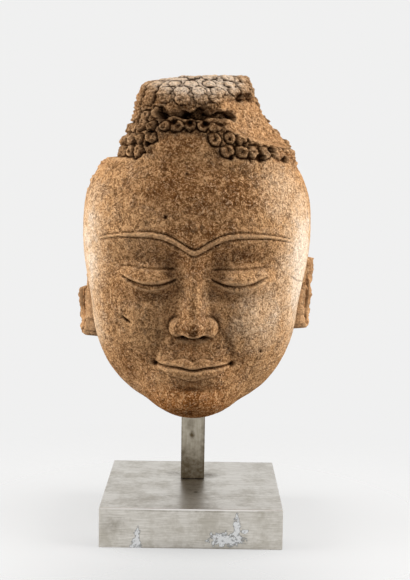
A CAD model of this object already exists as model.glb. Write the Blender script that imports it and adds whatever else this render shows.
# Broken stone head with curled hair, held up by a square steel bar on a steel block.
# The bar and the block are the frame's own pieces with a brushed finish. The head is carved here
# from a ball at full fineness, on the same fingers as the solid that it stands for.

import math
import random

import bpy
import numpy as np
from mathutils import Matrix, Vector, noise


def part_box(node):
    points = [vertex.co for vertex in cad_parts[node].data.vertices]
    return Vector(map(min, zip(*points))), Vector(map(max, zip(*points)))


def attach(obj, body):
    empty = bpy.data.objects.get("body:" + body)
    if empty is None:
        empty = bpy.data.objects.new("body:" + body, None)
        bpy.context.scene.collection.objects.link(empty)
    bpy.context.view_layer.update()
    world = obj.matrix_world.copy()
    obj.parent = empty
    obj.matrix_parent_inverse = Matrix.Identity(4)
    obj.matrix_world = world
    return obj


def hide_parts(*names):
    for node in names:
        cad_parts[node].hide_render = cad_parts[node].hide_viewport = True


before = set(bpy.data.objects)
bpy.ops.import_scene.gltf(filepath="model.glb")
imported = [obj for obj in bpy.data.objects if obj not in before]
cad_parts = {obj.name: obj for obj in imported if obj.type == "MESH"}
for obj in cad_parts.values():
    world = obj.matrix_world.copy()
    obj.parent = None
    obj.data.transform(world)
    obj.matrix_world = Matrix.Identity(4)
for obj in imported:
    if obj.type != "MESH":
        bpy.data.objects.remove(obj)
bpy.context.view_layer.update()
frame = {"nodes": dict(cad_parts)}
print("frame loaded:", ", ".join(frame["nodes"]))

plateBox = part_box("base_plate")
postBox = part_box("post")


# Small helpers

def makeActive(piece):
    bpy.ops.object.select_all(action="DESELECT")
    piece.select_set(True)
    bpy.context.view_layer.objects.active = piece


def ramp(low, high, value):
    share = np.clip((value - low) / (high - low), 0, 1)
    return share * share * (3 - 2 * share)


def bell(offset, width):
    return np.exp(-((offset / width) ** 2))


def mound(x, z, height, side, halfWidth, level, halfHeight):
    # a soft swelling, or the depth of a soft dip, at one place of the face
    return height * bell(x - side, halfWidth) * bell(z - level, halfHeight)


def smoothMax(a, b, width):
    share = np.clip(0.5 + 0.5 * (a - b) / width, 0, 1)
    return b + (a - b) * share + width * share * (1 - share)


def smoothMin(a, b, width):
    return -smoothMax(-a, -b, width)


# The head's form. Lengths are in fingers, twelve to the face: x to its left, y to its back,
# z up from the chin

head = {
    "faceHeight": 0.254,      # metres from the chin to the hairline
    "chinGap": 0.086,         # metres of bar seen under the chin
    "around": 302,            # columns and rows of the carved surface
    "upright": 322,
    "frontCrowding": 0.62,    # how much finer the front is than the back
    "coreLow": 1.7,           # the upright line from which the surface is found
    "coreHigh": 15.2,
    "coreSetback": 0.3,
    "capShares": (0.10, 0.88),  # rows of the fans that close the bottom and the top
    "capCrowding": 1.5,
    "reach": 8.0,             # where the search for the surface starts
    "socketGap": 0.0003,      # metres round the bar
}
finger = head["faceHeight"] / 12
chinHeight = plateBox[1][2] + head["chinGap"]

skull = {
    "cranium": dict(centre=(0.06, 0.28, 9.05), radii=(5.52, 4.86, 4.91), flat=2.25, upright=2.2),
    "face": dict(centre=(0.0, -0.75, 5.67), radii=(4.94, 3.87, 5.62), flat=2.35, upright=2.2),
    "chin": dict(centre=(0.0, -2.83, 1.51), radii=(2.08, 1.70, 1.56), flat=2.1, upright=2.0),
    "neck": dict(setback=1.30, halfWidth=2.45, halfDepth=2.10, top=5.4),
    "neckBreak": 0.95,
    "jawSlope": 0.26,
    "jawFront": -2.7,
    "shelf": 12.05,
    # how softly each part runs into the ones before it
    "blend": dict(face=1.4, chin=0.95, neck=0.6, underside=0.15, shelf=0.3),
}

hair = {
    # height, left edge, right edge, front, back
    "outline": (
        (11.0, -3.78, 4.86, -3.98, 4.55),
        (12.0, -3.76, 4.80, -4.02, 4.45),
        (12.9, -3.56, 4.40, -3.92, 4.20),
        (13.6, -3.12, 3.62, -3.64, 3.85),
        (14.1, -3.02, 3.12, -3.34, 3.45),
        (14.6, -2.94, 2.88, -3.20, 3.05),
        (15.1, -2.84, 2.66, -2.75, 2.60),
        (15.6, -2.62, 2.50, -1.95, 2.10),
        (15.9, -2.10, 2.30, -1.20, 1.60),
    ),
    "softness": 0.3,
    "squareness": 2.6,
    "top": 15.88,
    "topSlope": 0.07,
    "ledge": dict(height=13.95, depth=0.95, halfHeight=0.21, side=-0.02, halfWidth=1.65),
    # where the right of the knot split off: a steep face, a flatter one at its foot and the lip over it
    "splitFaces": (
        # a point of each and its direction outward
        ((1.25, -3.20, 14.20), (0.72, -0.50, 0.42)),
        ((2.68, -3.40, 12.89), (0.32, -0.12, 0.94)),
        ((1.65, -3.20, 14.66), (0.0, 0.10, -1.0)),
    ),
    "splitBlend": 0.2,
}

face = {
    "incised": 0.052,         # width of a cut line
    "brow": dict(
        root=7.78, rise=0.78, peak=2.6, tail=0.075, half=0.15, band=0.075, cut=0.11, ridge=0.10,
        thins=(1.2, 4.6), sinks=(3.4, 4.6), ends=(4.0, 4.7),
    ),
    "eye": dict(
        middle=2.05, half=1.30, height=6.36, curve=0.34, gap=0.20, ball=0.52, ballMiddle=6.6,
        ballHalfWidth=1.75, ballHalfHeight=1.02, opening=0.085, lid=0.04, lash=0.17, lowerLid=0.05,
        fold=0.09, foldRise=0.72, foldHalf=1.45,
    ),
    "lips": dict(
        height=2.55, half=1.70, smile=0.055, upper=0.45, lower=0.55, upperRise=0.24, lowerRise=0.27,
        groove=0.26, corner=0.26, cornerWidth=0.14, cornerHeight=0.13,
    ),
    # swellings and dips: how far, distance from the middle, half width, level, half height
    "muzzle": (0.36, 0, 1.70, 2.75, 0.95),
    "chin": (0.36, 0, 0.92, 0.98, 0.58),
    "cheek": (0.22, 2.45, 1.25, 4.75, 1.30),
    "underBrow": (0.40, 1.9, 1.55, 7.38, 0.52),
    "innerCorner": (0.34, 0.92, 0.48, 6.85, 0.60),
    "underEye": (0.10, 1.9, 1.4, 5.85, 0.35),
    "nostril": (0.34, 0.42, 0.17, 4.02, 0.12),
    "underLip": (0.24, 0, 1.10, 1.68, 0.27),
    "noseProfile": (
        (3.5, 4.05, 4.5, 5.0, 5.8, 6.6, 7.3, 7.9, 8.5, 9.3),
        (1.02, 1.16, 1.24, 1.12, 0.86, 0.62, 0.43, 0.26, 0.09, 0.0),
    ),
    "noseFlat": ((4.0, 4.6, 6.0, 7.4, 8.2, 9.3), (0.16, 0.16, 0.07, 0.05, 0.15, 0.60)),
    "noseFoot": ((4.0, 4.8, 6.2, 7.2, 8.0, 9.3), (0.98, 0.96, 0.76, 0.72, 0.95, 1.60)),
    "noseBase": 4.0,
    "noseTip": dict(height=4.56, halfWidth=0.60, halfHeight=0.62, rise=1.34),
    "wing": dict(side=0.62, height=4.42, halfWidth=0.50, halfHeight=0.52, rise=0.66),
    "noseBlend": 0.42,
    "dot": dict(height=9.0, radius=0.23, rise=0.075),
}

ears = {
    "middle": 1.38,
    "halfDepth": (0.70, 0.98),
    "top": 8.4,
    "root": 3.2,
    "near": 5.36,
    "flare": 0.34,
    "rim": 0.10,
    "left": dict(side=-1, foot=3.12, broken=5.55, notch=None),
    "right": dict(side=1, foot=3.66, broken=7.20, notch=(0.80, 5.84)),
}

curls = {
    # height, radius, how far they stand out, pitch along the row, wear, and whether they are flat discs
    "capRows": tuple((12.32 + 0.56 * row, 0.285, 0.20, 0.62, 0.45, False) for row in range(4)),
    "knobRows": tuple((14.72 + 0.37 * row, 0.34, 0.11, 0.84, 0.75 - 0.25 * row, True) for row in range(4)),
    "backRows": tuple((4.7 + 0.98 * row, 0.50, 0.16, 1.12, 0.4, False) for row in range(12)),
    "frontTurn": math.radians(102),
    "napeTurn": math.radians(120),
    "stray": 0.07,            # how far a curl lies off its row
    "wornPatch": dict(side=-0.60, height=12.50, halfWidth=1.55, halfHeight=0.74),
}

damage = {
    # bites out of the edges: place, radius and how much longer they are from front to back
    "bites": (
        ((-4.75, -0.9, 12.02), 0.52, 2.6), ((-4.98, -0.6, 11.42), 0.34, 3.0),
        ((-5.38, -0.4, 10.86), 0.32, 3.0), ((-5.62, -0.3, 10.22), 0.26, 3.2),
        ((-5.86, -0.2, 9.30), 0.22, 3.0), ((-4.60, 1.6, 12.15), 0.60, 1.5),
        ((5.02, -0.8, 11.75), 0.36, 2.0), ((5.55, -0.2, 10.6), 0.22, 2.6),
        ((-5.80, 0.6, 5.80), 0.35, 1.0), ((-5.98, 1.5, 3.95), 0.22, 1.0),
        ((5.98, 0.9, 7.35), 0.30, 1.0), ((5.95, 1.2, 5.10), 0.20, 1.0),
        ((2.95, -2.4, 15.35), 0.42, 1.0), ((-2.95, -2.3, 15.55), 0.32, 1.2),
        ((-3.40, -2.0, 14.25), 0.36, 1.5), ((2.35, -3.35, 13.95), 0.40, 1.0),
        ((-4.05, -2.2, 12.95), 0.30, 1.5), ((1.2, 2.9, 1.0), 0.50, 1.0),
        ((-1.9, 2.6, 1.1), 0.45, 1.0), ((4.35, -0.6, 13.05), 0.30, 2.0),
        ((0.9, -2.6, 15.95), 0.26, 1.4),
    ),
    # short cuts in the skin: from, to, width, depth
    "scratches": (
        ((-3.25, 4.80), (-2.93, 4.60), 0.055, 0.14),
        ((4.35, 6.78), (4.75, 6.42), 0.028, 0.03),
        ((4.75, 6.42), (5.15, 6.30), 0.028, 0.03),
    ),
    # single pits: x, z, radius, depth
    "pits": (
        (-1.31, 9.36, 0.07, 0.12), (3.08, 3.25, 0.06, 0.10), (-0.4, 11.3, 0.06, 0.08),
        (2.90, 12.04, 0.13, 0.40), (4.08, 12.03, 0.12, 0.40), (3.35, 12.40, 0.10, 0.25),
        (-0.31, 13.58, 0.12, 0.35), (0.39, 13.55, 0.12, 0.35), (-1.02, 13.60, 0.10, 0.25),
        (1.94, 14.86, 0.15, 0.30), (2.36, 14.96, 0.14, 0.25), (-2.05, 13.18, 0.10, 0.22),
        (-2.20, 12.62, 0.10, 0.22), (-2.75, 12.72, 0.10, 0.22),
        (1.55, 12.05, 0.10, 0.20), (2.10, 12.65, 0.10, 0.22),
    ),
}


def ovoidDistance(points, centre, radii, flat, upright):
    away = points - np.array(centre)
    share = np.abs(away / np.array(radii))
    plan = (share[:, 0] ** flat + share[:, 1] ** flat) ** (1 / flat)
    size = np.maximum((plan**upright + share[:, 2] ** upright) ** (1 / upright), 1e-6)
    return np.linalg.norm(away, axis=1) * (1 - 1 / size)


def skullDistance(points):
    # cranium cut off level, face, chin and the stump of the neck
    x, y, z = points.T
    neck, blend = skull["neck"], skull["blend"]
    shape = ovoidDistance(points, **skull["cranium"])
    shape = smoothMin(shape, ovoidDistance(points, **skull["face"]), blend["face"])
    shape = smoothMin(shape, ovoidDistance(points, **skull["chin"]), blend["chin"])
    stump = np.hypot(x / neck["halfWidth"], (y - neck["setback"]) / neck["halfDepth"]) - 1
    stump = np.maximum(stump * neck["halfDepth"], z - neck["top"])
    shape = smoothMin(shape, stump, blend["neck"])
    underside = np.minimum(skull["jawSlope"] * (y - skull["jawFront"]), skull["neckBreak"])
    shape = smoothMax(shape, underside - z, blend["underside"])
    return smoothMax(shape, z - skull["shelf"], blend["shelf"])


def splitDistance(points):
    out = np.full(len(points), head["reach"])
    for point, normal in hair["splitFaces"]:
        away = np.array(normal) / np.linalg.norm(normal)
        out = smoothMin(out, (points - np.array(point)) @ away, hair["splitBlend"])
    return out


def waves(points, frequency, seed):
    # uneven swell from -1 to 1 that never repeats over the head
    chance = random.Random(seed)
    total = np.zeros(len(points))
    for _ in range(6):
        turn, tilt = chance.uniform(0, 2 * math.pi), chance.uniform(-0.9, 0.9)
        way = np.array((math.cos(turn), math.sin(turn), math.tan(tilt))) * math.cos(tilt)
        total += np.sin(points @ way * frequency * chance.uniform(0.7, 1.4) + chance.uniform(0, 6))
    return total / 3


def hairDistance(points):
    # stacked ovals with a ledge under the knot and a split off at the right
    x, y, z = points.T
    outline = np.array(hair["outline"])
    heights = [z + hair["softness"] * step for step in (-1, -0.5, 0, 0.5, 1)]
    left, right, front, back = (
        np.mean([np.interp(height, outline[:, 0], outline[:, k]) for height in heights], axis=0)
        for k in range(1, 5)
    )
    halfWidth, halfDepth = (right - left) / 2, (back - front) / 2
    square = hair["squareness"]
    across = np.abs((x - (left + right) / 2) / halfWidth) ** square
    along = np.abs((y - (front + back) / 2) / halfDepth) ** square
    side = ((across + along) ** (1 / square) - 1) * np.minimum(halfWidth, halfDepth)
    shape = smoothMax(0.85 * side, z - (hair["top"] + hair["topSlope"] * np.clip(x, -2.8, 2.8)), 0.25)
    shape = smoothMax(shape, hair["outline"][0][0] - z, 0.1)
    shape = smoothMax(shape, splitDistance(points), 0.12)
    ledge = hair["ledge"]
    wander = 0.06 * np.sin(2.6 * x + 0.6) + 0.15 * waves(points, 6.5, 3)
    halfHeight = ledge["halfHeight"] * (1 + 0.40 * waves(points, 6.0, 9))
    under = np.exp(-np.abs((z - ledge["height"] - wander) / halfHeight) ** 3)
    under = under * (1 - ramp(0.75, 1.15, np.abs(x - ledge["side"]) / ledge["halfWidth"]))
    under = under * np.clip(0.80 + 0.40 * waves(points, 6.0, 5), 0.3, 1)
    return shape + ledge["depth"] * under * (1 - ramp(-1.2, 0.0, y))


def earDistance(points, side, foot, broken, notch):
    # a long slab that flares to the back, with its rim, its slit lobe and the place where it broke
    x, y, z = points.T
    share = np.clip((z - foot) / (ears["top"] - foot), 0, 1)
    low, high = ears["halfDepth"]
    halfDepth = low + (high - low) * ramp(0.2, 0.8, share)
    across = np.abs((y - ears["middle"]) / halfDepth)
    upright = np.abs((z - (foot + ears["top"]) / 2) / ((ears["top"] - foot) / 2))
    outline = ((across**2.4 + upright**5) ** (1 / 2.6) - 1) * halfDepth
    far = ears["near"] + ears["flare"] * (y - ears["middle"] + halfDepth)
    scapha = 0.16 * bell(outline + 0.34, 0.12)
    slit = 0.24 * bell(y - ears["middle"] + 0.05, 0.09)
    slit = slit * (1 - ramp(0.36, 0.46, share)) * ramp(0.03, 0.1, share)
    concha = 0.30 * bell(y - ears["middle"] + 0.15, 0.34) * bell(share - 0.60, 0.13)
    far = far + ears["rim"] * bell(outline + 0.12, 0.1) - scapha - slit - concha
    far = far - ramp(broken - 0.08, broken + 0.12, z) * np.clip(far - ears["near"], 0, None)
    if notch:
        far = far - 0.45 * bell(y - notch[0], 0.3) * bell(z - notch[1], 0.14)
    slab = np.maximum(side * x - far, ears["root"] - side * x)
    return smoothMax(slab, outline, 0.12)


def browHeight(x):
    brow = face["brow"]
    bow = np.sin(np.clip(np.abs(x) / brow["peak"], 0, 1) * math.pi / 2)
    tail = brow["tail"] * np.clip(np.abs(x) - brow["peak"], 0, None) ** 2
    return brow["root"] + brow["rise"] * (bow**2 * (3 - 2 * bow)) ** 0.75 - tail


def noseRelief(x, z):
    side = np.abs(x)
    foot = ramp(np.interp(z, *face["noseFlat"]), np.interp(z, *face["noseFoot"]), side)
    ridge = np.interp(z, *face["noseProfile"]) * (1 - foot)
    tip, wing, blend = face["noseTip"], face["wing"], face["noseBlend"]
    away = (x / tip["halfWidth"]) ** 2 + ((z - tip["height"]) / tip["halfHeight"]) ** 2
    end = tip["rise"] * np.sqrt(np.clip(1 - away, 0, 1))
    across = (side - wing["side"]) / wing["halfWidth"]
    upright = (z - wing["height"]) / wing["halfHeight"]
    flare = wing["rise"] * np.sqrt(np.clip(1 - across**2 - upright**2, 0, 1))
    level = smoothMax(smoothMax(0.0, 0.0, blend), 0.0, blend)
    shape = smoothMax(smoothMax(ridge, end, blend), flare, blend) - level
    crease = 0.05 * bell(np.hypot(across, upright) - 1.05, 0.14) * ramp(0.70, 0.86, side) * ramp(4.2, 4.5, z)
    cuts = crease + mound(side, z, *face["nostril"])
    underside = ramp(face["noseBase"] - 0.08, face["noseBase"] + 0.08, z - 0.06 * bell(side - 0.45, 0.2))
    return np.clip(shape, 0, None) * underside - np.clip(cuts, 0, np.clip(shape + 0.08, 0, None))


def eyeRelief(x, z):
    side, eye, cut = np.abs(x), face["eye"], face["incised"]
    share = (side - eye["middle"]) / eye["half"]
    above = z - (eye["height"] + eye["curve"] * share**2 + 0.07 * share)
    gap = eye["gap"] * np.clip(1 - (share * 1.07) ** 2, 0, None)
    offCentre = (side - eye["middle"]) / eye["ballHalfWidth"]
    ball = np.clip(1 - offCentre**2 - ((z - eye["ballMiddle"]) / eye["ballHalfHeight"]) ** 2, 0, 1)
    shape = eye["ball"] * ball**1.6
    for dip in ("underBrow", "innerCorner", "underEye"):
        shape = shape - mound(side, z, *face[dip])
    within = ramp(0.0, 0.35, 1 - share**2 * 0.95)
    opening = (1 - ramp(-0.05, 0.0, above)) * ramp(-0.03, 0.02, above + gap) * ramp(0.0, 0.04, gap)
    shape -= eye["opening"] * opening
    shape += (eye["lid"] * bell(above - 0.10, 0.07) - eye["lash"] * bell(above + 0.03, cut)) * within
    shape += eye["lowerLid"] * bell(above + gap + 0.07, 1.1 * cut) * ramp(0.0, 0.1, gap)
    span = np.clip(1 - ((side - eye["middle"]) / eye["foldHalf"]) ** 2, 0, 1)
    fold = eye["fold"] * bell(above - eye["foldRise"] * span**0.45, cut) * ramp(0.05, 0.45, span)
    return shape - fold


def browRelief(x, z):
    side, brow, cut = np.abs(x), face["brow"], face["incised"]
    above = z - browHeight(x)
    half = brow["half"] * (1 - 0.5 * ramp(*brow["thins"], side))
    band = brow["band"] * (1 - ramp(0.7, 1.0, np.abs(above) / half))
    cuts = brow["cut"] * (bell(above - half, 0.75 * cut) + bell(above + half, 0.75 * cut))
    ridge = brow["ridge"] * bell(above + 0.05, 0.42) * (1 - ramp(*brow["sinks"], side))
    return (band - cuts) * (1 - ramp(*brow["ends"], side)) + ridge


def mouthRelief(x, z):
    side, lips = np.abs(x), face["lips"]
    parting = lips["height"] + lips["smile"] * side**2 - 0.05 * bell(x, 0.32) + 0.03 * bell(side - 0.62, 0.3)
    share = np.clip(1 - (side / lips["half"]) ** 2, 0, 1)
    bow = 0.07 * bell(side - 0.36, 0.22) - 0.05 * bell(x, 0.15)
    upper = (z - parting) / np.maximum(lips["upper"] * share**0.75 + bow, 1e-3)
    lower = (parting - z) / np.maximum(lips["lower"] * share**0.6, 1e-3)
    upperLip = lips["upperRise"] * (1 - 0.55 * np.clip(upper, 0, 1) ** 2)
    upperLip = upperLip * (upper >= 0) * (1 - ramp(0.88, 1.02, upper))
    fullness = np.sqrt(np.clip(1 - 0.8 * (np.clip(lower, 0, 1) * 1.7 - 0.62) ** 2, 0, 1))
    lowerLip = lips["lowerRise"] * fullness * (lower > 0) * (1 - ramp(0.82, 1.05, lower))
    groove = lips["groove"] * bell(z - parting, 1.2 * face["incised"])
    groove = groove * ramp(0, 0.35, lips["half"] + 0.12 - side)
    corner = lips["corner"] * bell(side - lips["half"] - 0.02, lips["cornerWidth"])
    corner = corner * bell(z - parting, lips["cornerHeight"])
    philtrum = 0.06 * bell(x, 0.15) * ramp(3.02, 3.2, z) * (1 - ramp(3.7, 3.95, z))
    shape = mound(x, z, *face["muzzle"]) + (upperLip + lowerLip) * share**0.6
    return shape - groove - corner - philtrum - mound(x, z, *face["underLip"])


def fleshRelief(x, z):
    side, dot = np.abs(x), face["dot"]
    flesh = mound(x, z, *face["chin"]) + mound(side, z, *face["cheek"])
    fold = 0.10 * bell(side - 1.35 - 0.32 * (4.2 - z), 0.26) * ramp(2.3, 3.2, z) * (1 - ramp(3.9, 4.6, z))
    bead = np.clip(1 - (x**2 + (z - dot["height"]) ** 2) / dot["radius"] ** 2, 0, 1)
    return flesh - fold + dot["rise"] * np.sqrt(bead)


def markRelief(points):
    # scratches and single pits in the front skin of the stone, as depths
    x, y, z = points.T
    depth = np.zeros(len(x))
    for start, end, width, deep in damage["scratches"]:
        way = np.array(end) - np.array(start)
        offX, offZ = x - start[0], z - start[1]
        along = np.clip((offX * way[0] + offZ * way[1]) / (way @ way), 0, 1)
        off = np.hypot(offX - along * way[0], offZ - along * way[1])
        depth = np.maximum(depth, deep * bell(off, width))
    for pitX, pitZ, radius, deep in damage["pits"]:
        depth = np.maximum(depth, deep * bell(np.hypot(x - pitX, z - pitZ), radius))
    return depth * (1 - ramp(-2.0, -0.5, y))


def biteDistance(points, place, stretch):
    return np.linalg.norm((points - np.array(place)) / (1, stretch, 1), axis=1)


def headDistance(points):
    x, y, z = points.T
    shape = smoothMin(skullDistance(points), hairDistance(points), 0.12)
    for name in ("left", "right"):
        shape = smoothMin(shape, earDistance(points, **ears[name]), 0.1)
    features = (noseRelief, eyeRelief, browRelief, mouthRelief, fleshRelief)
    carving = sum(feature(x, z) for feature in features)
    belowHair = 1 - ramp(11.2, 11.9, z)
    front = 1 - ramp(-2.36, -0.71, y)
    shape = shape - carving * belowHair * front + markRelief(points)
    for place, radius, stretch in damage["bites"]:
        shape = smoothMax(shape, radius - biteDistance(points, place, stretch), 0.10)
    return shape


def outermostSurface(starts, directions):
    # walks in along each line from outside, then closes in on the stone
    outside = np.full(len(directions), head["reach"])
    inside = np.zeros(len(directions))
    here = outside.copy()
    searching = np.ones(len(directions), bool)
    while searching.any():
        chosen = np.nonzero(searching)[0]
        gap = headDistance(starts[chosen] + directions[chosen] * here[chosen, None])
        hit = gap < 0
        inside[chosen[hit]] = here[chosen[hit]]
        searching[chosen[hit]] = False
        outside[chosen[~hit]] = here[chosen[~hit]]
        here[chosen[~hit]] -= np.clip(0.5 * gap[~hit], 0.02, 0.3)
        searching &= here > 0
    for _ in range(11):
        half = (outside + inside) / 2
        out = headDistance(starts + directions * half[:, None]) > 0
        outside = np.where(out, half, outside)
        inside = np.where(out, inside, half)
    return outside


def rowShares():
    # rows of the surface stand closer where the carving is finer
    heights = np.linspace(0, 1, 400)
    level = head["coreLow"] + (head["coreHigh"] - head["coreLow"]) * heights
    wanted = 1 + 0.6 * bell(level - 6.7, 0.9) + 0.9 * bell(level - 2.6, 0.9) + 0.4 * bell(level - 4.2, 0.5)
    wanted += 0.35 * bell(level - 8.3, 0.7) + 0.75 * ramp(11.4, 12.0, level)
    run = np.concatenate([[0], np.cumsum((wanted[1:] + wanted[:-1]) / 2)])
    return run / run[-1], heights


def raysFromCore(latitude, longitude):
    # level lines out of an upright core, with a fan at each end
    share = latitude / math.pi + 0.5
    low, high = head["capShares"]
    middle = np.interp(np.clip((share - low) / (high - low), 0, 1), *rowShares())
    height = head["coreLow"] + (head["coreHigh"] - head["coreLow"]) * middle
    dip = np.clip(1 - share / low, 0, 1) ** head["capCrowding"] * -math.pi / 2
    climb = np.clip((share - high) / (1 - high), 0, 1) ** head["capCrowding"] * math.pi / 2
    turn = longitude - head["frontCrowding"] * np.sin(longitude)
    level = np.cos(dip + climb)
    directions = np.stack([np.sin(turn) * level, -np.cos(turn) * level, np.sin(dip + climb)], axis=-1)
    starts = np.stack([np.zeros(turn.shape), np.full(turn.shape, head["coreSetback"]), height], axis=-1)
    return starts, directions


# Curls: row by row round the head, each a flat disc, a hollow shell or a boss with a turned groove

def wornReach(x, z):
    # 1 on the edge of the patch over the forehead where the curls are worn away
    patch = curls["wornPatch"]
    return np.hypot((x - patch["side"]) / patch["halfWidth"], (z - patch["height"]) / patch["halfHeight"])


def keepsCurl(x, y, z):
    ledge = hair["ledge"]
    onSplit = splitDistance(np.array([(x, y, z)]))[0] > -0.12
    inLedge = abs(z - ledge["height"]) < 0.3 and abs(x - ledge["side"]) < ledge["halfWidth"] and y < 0
    return not onSplit and not inLedge and (y > 0 or wornReach(x, z) > 1)


def curlPlaces():
    chance = random.Random(7)
    rows = [(row, -curls["frontTurn"], curls["frontTurn"]) for row in curls["capRows"] + curls["knobRows"]]
    for row in curls["backRows"]:
        first = curls["napeTurn"] if row[0] < skull["shelf"] else curls["frontTurn"]
        rows.append((row, first, 2 * math.pi - first))
    for order, ((height, radius, rise, pitch, wear, disc), first, last) in enumerate(rows):
        core = np.array((0.0, head["coreSetback"], height))
        fine = np.linspace(first, last, 361)
        directions = np.stack([np.sin(fine), -np.cos(fine), np.zeros(len(fine))], axis=1)
        starts = np.tile(core, (len(fine), 1))
        points = starts + directions * outermostSurface(starts, directions)[:, None]
        run = np.concatenate([[0], np.cumsum(np.linalg.norm(np.diff(points, axis=0), axis=1))])
        count = round(run[-1] / pitch)
        for number in range(count):
            place = (number + 0.25 + 0.5 * (order % 2)) * run[-1] / count
            place += chance.uniform(-1, 1) * curls["stray"]
            point = np.array([np.interp(place, run, points[:, axis]) for axis in range(3)])
            point[2] += chance.uniform(-0.6, 0.6) * curls["stray"]
            size = radius * chance.uniform(0.88, 1.06)
            left = 1 - wear * chance.random() ** 1.5
            kind = "disc" if disc else "shell" if point[0] > 0.8 and point[1] < 0 else "curl"
            if keepsCurl(*point):
                yield point, size, rise * left, kind, chance.choice((-1, 1)), chance.random()


def curlRelief(points):
    # how far the curls lift the surface, and how deep in the gaps between them a point lies
    lift = np.zeros(len(points))
    gaps = np.zeros(len(points))
    nearest = np.full(len(points), 9.0)
    x, y, z = points.T
    uneven = 1 + 0.09 * np.sin(7.1 * x + 5.3 * z) + 0.08 * np.sin(9.7 * y - 8.9 * z + 2)
    uneven += 0.06 * np.sin(17 * (x + z))
    for centre, radius, rise, kind, hand, start in curlPlaces():
        offset = points - centre
        share = np.linalg.norm(offset, axis=1) * uneven / radius
        chosen = np.nonzero((share < 1.5) & (share < nearest))[0]
        near = share[chosen]
        nearest[chosen] = near
        crack = bell(near - 1.10, 0.16)
        if kind == "disc":
            shape = np.clip(1 - near**9, 0, 1) - 0.35 * crack
            dark = 0.8 * crack
        elif kind == "shell":
            turned = np.arctan2(offset[chosen, 2], offset[chosen, 0]) + 1.4 * hand + start
            shape = 0.95 * bell(near - 0.50, 0.42) * (0.72 + 0.28 * np.cos(turned)) - 0.65 * crack
            dark = np.maximum(crack, 0.55 * bell(near - 0.22, 0.16) * (0.5 - 0.5 * np.cos(turned)))
        else:
            outward = np.array((centre[0], centre[1] - head["coreSetback"]))
            outward = outward / np.linalg.norm(outward)
            across = offset[chosen, 0] * -outward[1] + offset[chosen, 1] * outward[0]
            turns = near * 1.5 - hand * np.arctan2(offset[chosen, 2], across) / (2 * math.pi) + start
            groove = bell(turns - np.round(turns), 0.15) * (1 - ramp(0.72, 0.92, near)) * ramp(0.1, 0.3, near)
            crown = 0.84 + 0.16 * bell(near - 0.66, 0.2) - 0.35 * bell(near, 0.26)
            shape = np.clip(1 - near**5, 0, 1) * crown - 0.26 * groove - 0.75 * crack
            dark = np.maximum(crack, 0.45 * np.maximum(groove, bell(near, 0.25)))
        lift[chosen] = rise * shape
        gaps[chosen] = dark
    return lift, gaps


# Breaks: where the rough inside of the stone shows, from 0 to 1

def earMask(points):
    x, y, z = points.T
    return ramp(4.75, 5.0, np.abs(x)) * ramp(0.2, 0.6, y) * (1 - ramp(2.4, 3.0, y)) * (1 - ramp(8.5, 9.0, z))


def breakMask(points):
    x, y, z = points.T
    neckEnd = (1 - ramp(0.9, 1.3, z)) * ramp(-1.2, -0.4, y)
    split = 0.42 * ramp(-0.12, -0.02, splitDistance(points)) * ramp(11.6, 12.0, z)
    shelf = ramp(11.75, 12.0, z) * (1 - ramp(12.3, 12.6, z)) * ramp(3.6, 4.1, np.abs(x + 0.2))
    knobSide = ramp(13.6, 14.2, z) * ramp(2.55, 2.85, -x)
    leftStub = ramp(5.6, 5.9, z) * (1 - ramp(8.0, 8.5, z)) * ramp(4.9, 5.2, -x) * bell(y - 1.5, 1.0)
    rightStub = ramp(7.2, 7.5, z) * (1 - ramp(8.2, 8.7, z)) * ramp(4.9, 5.2, x) * bell(y - 1.5, 1.0)
    bites = np.zeros(len(points))
    for place, radius, stretch in damage["bites"]:
        reach = biteDistance(points, place, stretch) / radius
        bites = np.maximum(bites, 1 - ramp(1.02, 1.25, reach))
    zones = (neckEnd, split, shelf, knobSide, leftStub, rightStub, 0.45 * earMask(points), bites)
    return np.max(zones, axis=0)


grain = {
    # how far the surface swings, in fingers, for soft waves, fine grain, pits and coarse breaks
    "soft": 0.018,
    "fine": 0.012,
    "pits": 0.12,
    "coarse": 0.16,
    "onHair": 0.62,           # how much of the coarse grain the hair takes
}


def stoneRoughness(points, broken, hairy):
    # hand-made unevenness all over, pits in the skin, coarse grain on the breaks and the hair
    lift = np.empty(len(points))
    for index, point in enumerate(points):
        place = Vector(point)
        soft = noise.fractal(place * 1.1, 0.9, 2.1, 2)
        fine = noise.fractal(place * 7.5, 0.6, 2.2, 2)
        pit = max(0.0, noise.noise(place * 3.7 + Vector((7, 3, 1))) - 0.40)
        lift[index] = grain["soft"] * soft + grain["fine"] * fine - grain["pits"] * pit
        coarse = max(broken[index], grain["onHair"] * hairy[index])
        if coarse > 0:
            lift[index] += coarse * (grain["coarse"] * noise.fractal(place * 2.4, 0.4, 2.3, 4) - 0.03)
    return lift


def blurGrid(grid, reach):
    # mean over neighbouring rows and columns
    count = 2 * reach + 1
    wide = sum(np.roll(grid, step, axis=1) for step in range(-reach, reach + 1)) / count
    padded = np.pad(wide, ((reach, reach), (0, 0)), mode="edge")
    return np.mean([padded[k:k + grid.shape[0]] for k in range(count)], axis=0)


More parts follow.
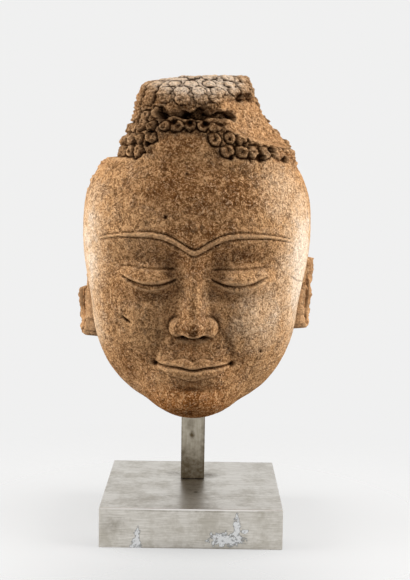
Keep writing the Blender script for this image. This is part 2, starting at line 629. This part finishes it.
def carveHead():
    bpy.ops.mesh.primitive_uv_sphere_add(segments=head["around"], ring_count=head["upright"], radius=1)
    stone = bpy.context.object
    stone.name = "carved_head"
    mesh = stone.data
    corners = np.empty(len(mesh.vertices) * 3)
    mesh.vertices.foreach_get("co", corners)
    corners = corners.reshape(-1, 3)
    latitude = np.arcsin(np.clip(corners[:, 2], -1, 1))
    longitude = np.arctan2(corners[:, 0], -corners[:, 1])
    starts, directions = raysFromCore(latitude, longitude)
    reach = outermostSurface(starts, directions)
    points = starts + directions * reach[:, None]
    print("  surface found,", len(points), "points")
    broken = breakMask(points)
    lift, gaps = curlRelief(points)
    x, y, z = points.T
    worn = (1 - ramp(0.70, 1.02, wornReach(x, z))) * (y < 0)
    hairy = ramp(11.95, 12.3, z) * (1 - worn) * (1 - ramp(-0.12, -0.02, splitDistance(points)))
    marks = markRelief(points)
    lift = lift * (1 - 0.8 * broken)
    lift += stoneRoughness(points, broken, hairy)
    points = points + directions * lift[:, None]
    print("  curls and breaks cut")

    # how far each point stands over its neighbourhood, from the surface as a grid of rows and columns
    rows = np.rint((latitude / math.pi + 0.5) * head["upright"]).astype(int)
    columns = np.rint((longitude / (2 * math.pi) + 0.5) * head["around"]).astype(int) % head["around"]
    grid = np.zeros((head["upright"] + 1, head["around"]))
    heights = reach + lift
    grid[rows, columns] = heights
    grid[0, :] = heights[rows == 0][0]
    grid[-1, :] = heights[rows == head["upright"]][0]
    fine = grid - blurGrid(grid, 2)
    fine = (fine - blurGrid(fine, 5))[rows, columns]
    broad = (grid - blurGrid(grid, 9))[rows, columns]

    world = points * finger + np.array((0, 0, chinHeight))
    mesh.vertices.foreach_set("co", world.ravel())
    hollow = np.clip(-fine / 0.06, 0, 1) * 0.6 + np.clip(-broad / 0.30, 0, 1) * 0.2 + 0.6 * gaps
    masks = {
        "hollow": hollow * (1 - 0.75 * broken) + np.clip(marks / 0.10, 0, 0.8),
        "edge": np.clip(fine / 0.05, 0, 1) * ramp(1.4, 2.2, z),
        "broken": broken,
        "hairy": np.clip(hairy * (1 - broken) + (gaps > 0.02) * 0.6, 0, 1),
        "ear": earMask(points),
    }
    for name, values in masks.items():
        layer = mesh.attributes.new(name, "FLOAT", "POINT")
        layer.data.foreach_set("value", np.clip(values, 0, 1).astype(np.float32))
    mesh.update()
    return stone


def cutSocket(stone):
    # the square hole for the bar, clear of it all round
    gap = head["socketGap"]
    low, high = Vector(postBox[0]), Vector(postBox[1])
    middle = (low + high) / 2
    bpy.ops.mesh.primitive_cube_add(size=1, location=middle + Vector((0, 0, gap / 2)))
    cutter = bpy.context.object
    cutter.scale = (high.x - low.x + 2 * gap, high.y - low.y + 2 * gap, high.z - low.z + gap)
    bpy.ops.object.transform_apply(location=True, rotation=True, scale=True)
    makeActive(stone)
    cut = stone.modifiers.new("socket", "BOOLEAN")
    cut.operation = "DIFFERENCE"
    cut.object = cutter
    bpy.ops.object.modifier_apply(modifier=cut.name)
    bpy.data.objects.remove(cutter, do_unlink=True)


print("carving the head")
carvedHead = carveHead()
cutSocket(carvedHead)
makeActive(carvedHead)
bpy.ops.object.shade_smooth()
print("head carved,", len(carvedHead.data.polygons), "faces")


# Materials

def newMaterial(name):
    material = bpy.data.materials.new(name)
    material.use_nodes = True
    nodes = material.node_tree.nodes
    place = nodes.new("ShaderNodeTexCoord").outputs["Object"]
    return material, nodes["Principled BSDF"], place


def treeOf(*values):
    # the node tree of the first value that comes from a node
    return next(value.id_data for value in values if isinstance(value, bpy.types.NodeSocket))


def feed(socket, value):
    # the output of another node, a colour or a plain value
    if isinstance(value, bpy.types.NodeSocket):
        socket.id_data.links.new(value, socket)
    else:
        socket.default_value = (*value, 1.0) if socket.type == "RGBA" else value


def setNode(node, **values):
    # each name is a setting of the node or, with underscores for its spaces, an input
    for name, value in values.items():
        if hasattr(node, name):
            setattr(node, name, value)
        else:
            feed(node.inputs[name.replace("_", " ")], value)
    return node


def addNode(tree, kind, **values):
    return setNode(tree.nodes.new(kind), **values)


def mathNode(operation, first, second, clamp=False):
    node = addNode(treeOf(first, second), "ShaderNodeMath", operation=operation, use_clamp=clamp)
    feed(node.inputs[0], first)
    feed(node.inputs[1], second)
    return node.outputs[0]


def times(first, second, clamp=False):
    return mathNode("MULTIPLY", first, second, clamp)


def plus(first, second, clamp=False):
    return mathNode("ADD", first, second, clamp)


def less(start, value, share, clamp=False):
    # what is left of the start when a share of the value is taken off
    return mathNode("SUBTRACT", start, times(value, share), clamp)


def centred(value, gain):
    # swings about 0 instead of a half
    return times(mathNode("SUBTRACT", value, 0.5), gain)


def weighed(first, second, share):
    return plus(times(first, share), times(second, 1 - share))


def largest(values):
    most = values[0]
    for value in values[1:]:
        most = mathNode("MAXIMUM", most, value)
    return most


def mixColour(factor, first, second, blend="MIX"):
    node = addNode(treeOf(factor, first, second), "ShaderNodeMix", data_type="RGBA", blend_type=blend)
    # of its inputs, 0 is the factor and 6 and 7 are the colours
    for index, value in ((0, factor), (6, first), (7, second)):
        feed(node.inputs[index], value)
    return node.outputs[2]


def rampNode(value, *stops):
    node = addNode(treeOf(value), "ShaderNodeValToRGB", Fac=value)
    points = node.color_ramp.elements
    while len(points) < len(stops):
        points.new(0.5)
    for point, (position, shade) in zip(points, stops):
        point.position = position
        point.color = (*shade, 1.0) if isinstance(shade, tuple) else (shade, shade, shade, 1.0)
    return node.outputs[0]


def noiseAt(place, scale, detail, roughness=0.55, distortion=0.0):
    node = addNode(treeOf(place), "ShaderNodeTexNoise", Vector=place, Scale=scale, Detail=detail)
    setNode(node, Roughness=roughness, Distortion=distortion)
    return node.outputs["Fac"]


def fadeNode(place, gone, full):
    # 0 from one distance of the origin on, rising smoothly to 1 at a shorter one
    tree = treeOf(place)
    length = addNode(tree, "ShaderNodeVectorMath", operation="LENGTH")
    feed(length.inputs[0], place)
    span = addNode(tree, "ShaderNodeMapRange", interpolation_type="SMOOTHSTEP")
    setNode(span, Value=length.outputs["Value"], From_Min=gone, From_Max=full)
    return span.outputs[0]


def blobMask(place, centre, radii, softness):
    # 1 inside an oval patch of the surface, falling to 0 outside it
    shift = addNode(treeOf(place), "ShaderNodeMapping", vector_type="TEXTURE", Vector=place)
    setNode(shift, Location=centre, Scale=radii)
    return fadeNode(shift.outputs[0], 1.0, 1.0 - softness)


def patchMask(place, patches):
    return largest([
        times(blobMask(place, centre, radii, 0.85), strength) for centre, radii, strength in patches
    ])


def addBump(shader, height, strength, distance):
    bump = addNode(treeOf(height), "ShaderNodeBump", Height=height, Strength=strength, Distance=distance)
    feed(shader.inputs["Normal"], bump.outputs["Normal"])


stoneLook = {
    "tan": (0.48, 0.26, 0.116),
    "sand": (0.66, 0.43, 0.25),
    "cream": (0.88, 0.70, 0.53),
    "brown": (0.218, 0.089, 0.027),
    "rust": (0.340, 0.124, 0.030),
    "deep": (0.070, 0.028, 0.010),
    "fleck": (0.76, 0.46, 0.235),
    "rubbed": (0.76, 0.47, 0.25),
    "dirt": (0.036, 0.0145, 0.0055),
    "hair": (0.075, 0.028, 0.008),
    "freshBreak": (0.37, 0.170, 0.068),
    # how much of them shows
    "stainShare": 0.9,
    "breakShare": 0.85,
    "hairShare": 0.68,
    "earShare": 0.55,
    "dirtShare": 1.15,
    # noises: how many to a metre, detail, roughness, distortion
    "clouds": (16, 5, 0.6),
    "mottle": (70, 5, 0.7),
    "speckle": (270, 3, 0.7, 1.2),
    "grit": (640, 2, 0.6),
    "worms": (175, 2, 0.6, 0.8),
    "crumbs": (190, 4, 0.75),
    "streaks": (240, 240, 14),  # how many to a metre along each axis
    "roughness": 0.92,
    "bump": 0.0034,           # metres
    # brown patches of old stain: centre and radii in metres, then strength
    "stains": (
        ((0.0, -0.10, 0.352), (0.105, 0.09, 0.060), 1.0),
        ((0.0, -0.11, 0.300), (0.075, 0.09, 0.050), 0.95),
        ((-0.055, -0.09, 0.262), (0.060, 0.07, 0.040), 0.80),
        ((0.055, -0.09, 0.285), (0.045, 0.07, 0.020), 0.55),
        ((0.0, -0.10, 0.140), (0.095, 0.09, 0.045), 1.15),
        ((-0.060, -0.08, 0.185), (0.050, 0.08, 0.040), 0.70),
        ((0.0, -0.12, 0.215), (0.042, 0.07, 0.050), 1.00),
        ((0.030, -0.10, 0.180), (0.050, 0.08, 0.025), 0.55),
        ((-0.128, 0.020, 0.225), (0.016, 0.05, 0.050), 0.60),
        ((-0.010, -0.09, 0.392), (0.055, 0.07, 0.026), 0.95),
    ),
    # the same for rubbed, pale places
    "pale": (
        ((0.120, -0.054, 0.270), (0.058, 0.062, 0.130), 1.15),
        ((-0.118, -0.054, 0.285), (0.046, 0.060, 0.125), 0.90),
        ((0.068, -0.09, 0.230), (0.050, 0.07, 0.050), 0.48),
        ((0.085, -0.08, 0.350), (0.040, 0.07, 0.050), 0.45),
        ((0.014, -0.13, 0.235), (0.016, 0.05, 0.035), 0.25),
        ((-0.100, -0.03, 0.215), (0.025, 0.10, 0.050), 0.60),
        ((0.0, -0.05, 0.460), (0.085, 0.08, 0.034), 1.40),
    ),
    # redder about the jaw, black along the ledge under the knot: centre, radii, softness
    "jaw": ((-0.015, -0.10, 0.150), (0.130, 0.16, 0.070), 0.9),
    "ledge": ((-0.006, -0.075, 0.4130), (0.060, 0.05, 0.0200), 0.5),
}


def stoneMaterial():
    material, shader, place = newMaterial("carved_sandstone")
    tree, look = treeOf(place), stoneLook
    mask = {}
    for name in ("hollow", "edge", "broken", "hairy", "ear"):
        mask[name] = addNode(tree, "ShaderNodeAttribute", attribute_name=name).outputs["Fac"]
    clouds, mottle, speckle, grit, worms, crumbs = (
        noiseAt(place, *look[name])
        for name in ("clouds", "mottle", "speckle", "grit", "worms", "crumbs")
    )

    # old brown stain, broken up by clouds and mottling
    stain = plus(patchMask(place, look["stains"]), centred(clouds, 2.2))
    stain = plus(stain, centred(mottle, 2.4))
    pale = patchMask(place, look["pale"])
    stain = times(less(stain, pale, 0.55), look["stainShare"], clamp=True)
    pale = plus(pale, centred(mottle, 1.6), clamp=True)
    brown = mixColour(blobMask(place, *look["jaw"]), look["brown"], look["rust"])
    colour = rampNode(pale, (0.0, look["tan"]), (0.55, look["sand"]), (1.0, look["cream"]))
    colour = mixColour(stain, colour, brown)

    # breaks show fresher orange stone, and the hair is darker
    breakTone = mixColour(mottle, look["brown"], look["freshBreak"])
    breakTone = mixColour(0.35, breakTone, look["freshBreak"])
    colour = mixColour(times(mask["broken"], look["breakShare"]), colour, breakTone)
    hairShare = less(mask["hairy"], pale, 0.8, clamp=True)
    colour = mixColour(times(hairShare, look["hairShare"]), colour, look["hair"])

    # grain: dark and pale flecks of one to three millimetres, and short dark worms between them
    fleck = weighed(speckle, grit, 0.6)
    worm = rampNode(worms, (0.45, 0.0), (0.49, 1.0), (0.51, 1.0), (0.55, 0.0))
    worm = times(worm, rampNode(mottle, (0.44, 0.15), (0.58, 0.75)))
    worm = times(worm, less(1.0, pale, 0.45))
    dark = times(rampNode(fleck, (0.50, 0.0), (0.58, 1.0)), less(0.70, pale, 0.3))
    light = times(rampNode(fleck, (0.42, 1.0), (0.50, 0.0)), 0.62)
    lightTone = mixColour(pale, look["fleck"], look["cream"])
    for amount, tone in ((dark, look["deep"]), (light, lightTone), (worm, look["deep"])):
        colour = mixColour(amount, colour, tone)

    # browner ears with dark streaks down them
    colour = mixColour(times(mask["ear"], look["earShare"]), colour, look["freshBreak"])
    drawn = addNode(tree, "ShaderNodeMapping", Vector=place, Scale=look["streaks"]).outputs[0]
    streak = rampNode(noiseAt(drawn, 1.0, 2), (0.48, 0.0), (0.56, 0.85))
    colour = mixColour(times(streak, mask["ear"]), colour, look["deep"])

    # rubbed edges are paler, and dirt sits in every hollow and all along the ledge
    rubbed = times(mask["edge"], less(1.0, hairShare, 0.45))
    rubbed = times(rubbed, times(mottle, 0.9))
    ledge = times(blobMask(place, *look["ledge"]), 0.50)
    ledge = times(ledge, rampNode(mottle, (0.35, 0.25), (0.60, 1.0)))
    dirt = times(mask["hollow"], look["dirtShare"], clamp=True)
    for amount, tone in ((rubbed, look["rubbed"]), (ledge, look["dirt"]), (dirt, look["dirt"])):
        colour = mixColour(amount, colour, tone)
    setNode(shader, Base_Color=colour, Roughness=look["roughness"], Specular_IOR_Level=0.0)

    # open grain
    height = mathNode("SUBTRACT", times(mottle, 1.2), fleck)
    height = less(height, worm, 0.3)
    height = plus(height, times(crumbs, times(mask["hairy"], 0.9)))
    addBump(shader, height, 1.0, look["bump"])
    return material


def brushedGroup():
    # fine lines along one direction: gives a shade from dull to bright and a height
    group = bpy.data.node_groups.new("brushed_lines", "ShaderNodeTree")
    group.interface.new_socket("Place", in_out="INPUT", socket_type="NodeSocketVector")
    for name in ("Shade", "Height"):
        group.interface.new_socket(name, in_out="OUTPUT", socket_type="NodeSocketFloat")
    place = group.nodes.new("NodeGroupInput").outputs["Place"]
    fine = noiseAt(place, 9.0, 4, 0.7)
    broad = noiseAt(place, 2.0, 3, 0.6)
    shade = rampNode(weighed(fine, broad, 0.75), (0.33, 0.0), (0.67, 1.0))
    addNode(group, "NodeGroupOutput", Shade=shade, Height=fine)
    return group


steelLook = {
    "bright": (0.80, 0.77, 0.72),
    "dull": (0.52, 0.488, 0.43),
    "stain": (0.105, 0.078, 0.045),
    "patina": (0.30, 0.265, 0.195),
    "wornEdge": (0.95, 0.93, 0.90),
    "residue": (0.92, 0.93, 0.94),
    "residueShade": (0.40, 0.41, 0.42),
    "residueRim": (0.20, 0.21, 0.22),
    "clouds": (30, 5, 0.6),
    "fleck": (240, 4, 0.6),
    "crumpled": (330, 3, 0.7),
    "roughness": (0.32, 0.46),
    "bump": 0.0002,
}


def steelMaterial(name, brushed, stretch, tone, stains, residues=(), edges=()):
    material, shader, place = newMaterial(name)
    tree, look = treeOf(place), steelLook
    squeeze = addNode(tree, "ShaderNodeMapping", Vector=place, Scale=stretch)
    lines = addNode(tree, "ShaderNodeGroup", node_tree=brushed, Place=squeeze.outputs[0])
    clouds = noiseAt(place, *look["clouds"])
    fleck = noiseAt(place, *look["fleck"])

    # brushed base with a cloudy, slightly olive patina
    colour = mixColour(lines.outputs["Shade"], look["dull"], look["bright"])
    patina = rampNode(weighed(clouds, fleck, 0.75), (0.44, 0.0), (0.64, 1.0))
    colour = mixColour(times(patina, 0.42), colour, look["patina"])
    colour = mixColour(1.0, colour, tone, "MULTIPLY")
    torn = plus(rampNode(clouds, (0.25, 0.45), (0.60, 1.0)), centred(fleck, 1.2))
    for centre, radii, strength in stains:
        spot = times(blobMask(place, centre, radii, 0.95), torn)
        colour = mixColour(times(spot, strength, clamp=True), colour, look["stain"])
    for centre, radii in edges:
        worn = times(blobMask(place, centre, radii, 0.4), 0.75)
        colour = mixColour(worn, colour, look["wornEdge"])
    smooth, rough = look["roughness"]
    rough = plus(times(patina, rough - smooth), smooth)
    metal = 1.0

    # flaky rests of a label, with a dark rim
    flakes = []
    for centre, radii in residues:
        spot = blobMask(place, centre, radii, 1.0)
        flaky = plus(times(spot, 1.3), centred(fleck, 2.6))
        flakes.append(times(rampNode(spot, (0.0, 0.0), (0.15, 1.0)), flaky))
    if flakes:
        crust = largest(flakes)
        rim = rampNode(crust, (0.50, 0.0), (0.56, 1.0), (0.68, 1.0), (0.76, 0.0))
        body = rampNode(crust, (0.64, 0.0), (0.74, 1.0))
        crumpled = rampNode(noiseAt(place, *look["crumpled"]), (0.38, 0.0), (0.50, 1.0))
        paper = mixColour(crumpled, look["residueShade"], look["residue"])
        colour = mixColour(times(body, 0.9), colour, paper)
        colour = mixColour(times(rim, 0.7), colour, look["residueRim"])
        metal = less(1.0, body, 0.8)
        rough = plus(rough, times(body, 0.3), clamp=True)
    setNode(shader, Base_Color=colour, Roughness=rough, Metallic=metal)
    addBump(shader, lines.outputs["Height"], 0.3, look["bump"])
    return material


def setMaterial(piece, material):
    if not piece.data.materials:
        piece.data.materials.append(material)
    for slot in piece.material_slots:
        slot.material = material


(postLeft, postFront, _), (postRight, postBack, _) = postBox
plateFront = plateBox[0][1]
plateTop = plateBox[1][2]
postFoot = Vector(((postLeft + postRight) / 2, (postFront + postBack) / 2, plateTop))

# stains, rests of a label and worn edges: centre and radii in metres, then strength
blockLook = {
    "stretch": (6, 90, 90),
    "tone": (1.0, 1.0, 1.0),
    "stains": (
        (postFoot, (0.032, 0.028, 0.004), 0.65),
        (postFoot + Vector((0.018, 0.002, 0)), (0.018, 0.012, 0.004), 0.60),
        (postFoot + Vector((-0.020, 0.010, 0)), (0.016, 0.012, 0.004), 0.35),
        ((0.001, postFront - 0.035, plateTop), (0.016, 0.040, 0.004), 0.55),
        ((0.004, -0.032, plateTop), (0.0034, 0.0040, 0.004), 1.6),
        ((-0.077, plateFront, 0.024), (0.020, 0.004, 0.014), 0.30),
        ((0.0, plateFront, 0.0), (0.110, 0.004, 0.0022), 0.60),
        ((0.0, plateFront, 0.002), (0.080, 0.004, 0.010), 0.22),
        ((0.0, plateFront, plateTop - 0.0024), (0.110, 0.004, 0.0011), 0.45),
    ),
    "residues": (
        ((-0.0540, plateFront, 0.003), (0.0095, 0.004, 0.0150)),
        ((-0.0525, plateFront, 0.011), (0.0050, 0.004, 0.0170)),
        ((0.034, plateFront, 0.010), (0.0290, 0.004, 0.0125)),
        ((0.0450, plateFront, 0.021), (0.0062, 0.004, 0.0260)),
        ((0.053, plateFront, 0.018), (0.0070, 0.004, 0.0040)),
    ),
    "edges": (((0.0, plateFront, plateTop), (0.115, 0.0019, 0.0019)),),
}
barLook = {
    "stretch": (160, 160, 5),
    "tone": (0.71, 0.675, 0.60),
    "stains": (
        (postFoot, (0.045, 0.045, 0.036), 1.35),
        (postFoot + Vector((0, -0.004, 0.008)), (0.045, 0.045, 0.054), 0.90),
        ((-0.001, postFront, 0.088), (0.0042, 0.003, 0.0068), 1.5),
        ((-0.003, postFront, 0.100), (0.0090, 0.003, 0.0120), 0.45),
        ((-0.0125, postFront, 0.090), (0.0016, 0.003, 0.200), 0.80),
        ((0.0125, postFront, 0.090), (0.0022, 0.003, 0.200), 1.00),
        ((0.010, postFront, 0.080), (0.0035, 0.004, 0.060), 0.35),
    ),
}

brushedLines = brushedGroup()
setMaterial(carvedHead, stoneMaterial())
setMaterial(frame["nodes"]["base_plate"], steelMaterial("brushed_block", brushedLines, **blockLook))
setMaterial(frame["nodes"]["post"], steelMaterial("brushed_bar", brushedLines, **barLook))

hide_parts("stone_head")
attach(carvedHead, "root")
print("materials set")


# Studio

studio = {
    "floorRadius": 0.6,
    "floorFade": (0.50, 0.17),  # where the floor is gone, and where it is full
    "floorCover": 0.42,        # how much of the backdrop the floor hides
    "floorColour": (0.62, 0.617, 0.610),
    "shadeColour": (0.20, 0.20, 0.195),
    # soft shade on the floor in front of the block: centre, radii and strength
    "floorShades": (
        ((0.0, -0.20, 0.0), (0.26, 0.20, 0.1), 0.55),
        ((0.0, -0.085, 0.0), (0.14, 0.055, 0.1), 0.60),
    ),
    "room": (1.0, 1.0, 0.998),
    "backdrop": 0.872,         # what the camera and reflections see
    "ambient": 0.36,           # what lights the stone
    "cameraPlace": (0.0104, -1.1314, 0.3638),
    "cameraPitch": 5.96,
    "cameraRoll": 0.87,
    "lens": 68.03,
    # name, place, size, power, aims at
    "lamps": (
        ("right_box", (0.93, -0.16, 0.55), (0.7, 1.0), 16.2, (0, 0, 0.28)),
        ("left_box", (-0.94, -0.08, 0.50), (0.7, 1.0), 16.0, (0, 0, 0.28)),
        ("top_box", (0.05, -0.05, 1.35), (0.8, 0.6), 5.5, (0, 0, 0.30)),
    ),
}


def addFloor():
    bpy.ops.mesh.primitive_circle_add(vertices=128, radius=studio["floorRadius"], fill_type="NGON")
    floor = bpy.context.object
    floor.name = "floor"
    material, shader, place = newMaterial("pale_floor")
    colour = studio["floorColour"]
    for centre, radii, strength in studio["floorShades"]:
        shade = times(blobMask(place, centre, radii, 1.0), strength)
        colour = mixColour(shade, colour, studio["shadeColour"])
    cover = times(fadeNode(place, *studio["floorFade"]), studio["floorCover"])
    setNode(shader, Base_Color=colour, Alpha=cover, Roughness=0.85, Specular_IOR_Level=0.1)
    setMaterial(floor, material)


def addLamps():
    for name, place, size, power, aim in studio["lamps"]:
        lamp = bpy.data.lights.new(name, "AREA")
        lamp.shape = "RECTANGLE"
        lamp.size, lamp.size_y = size
        lamp.energy = power
        holder = bpy.data.objects.new(name, lamp)
        holder.location = place
        holder.rotation_euler = (Vector(aim) - Vector(place)).to_track_quat("-Z", "Y").to_euler()
        holder.visible_glossy = False
        bpy.context.scene.collection.objects.link(holder)


def addWorld():
    world = bpy.data.worlds.new("white_room")
    world.use_nodes = True
    tree = world.node_tree
    path = addNode(tree, "ShaderNodeLightPath").outputs
    seen = largest((path["Is Camera Ray"], path["Is Glossy Ray"]))
    strength = times(seen, studio["backdrop"] - studio["ambient"])
    strength = plus(strength, studio["ambient"])
    setNode(tree.nodes["Background"], Color=studio["room"], Strength=strength)
    bpy.context.scene.world = world


def addCamera():
    lens = bpy.data.cameras.new("camera")
    lens.lens = studio["lens"]
    lens.clip_end = 30
    camera = bpy.data.objects.new("camera", lens)
    camera.location = studio["cameraPlace"]
    camera.rotation_euler = (math.radians(90 - studio["cameraPitch"]), 0, 0)
    bpy.context.scene.collection.objects.link(camera)
    bpy.context.view_layer.update()
    camera.rotation_euler.rotate_axis("Z", math.radians(studio["cameraRoll"]))
    bpy.context.scene.camera = camera


addFloor()
addLamps()
addWorld()
addCamera()
bpy.context.scene.view_settings.view_transform = "Standard"
print("studio set")
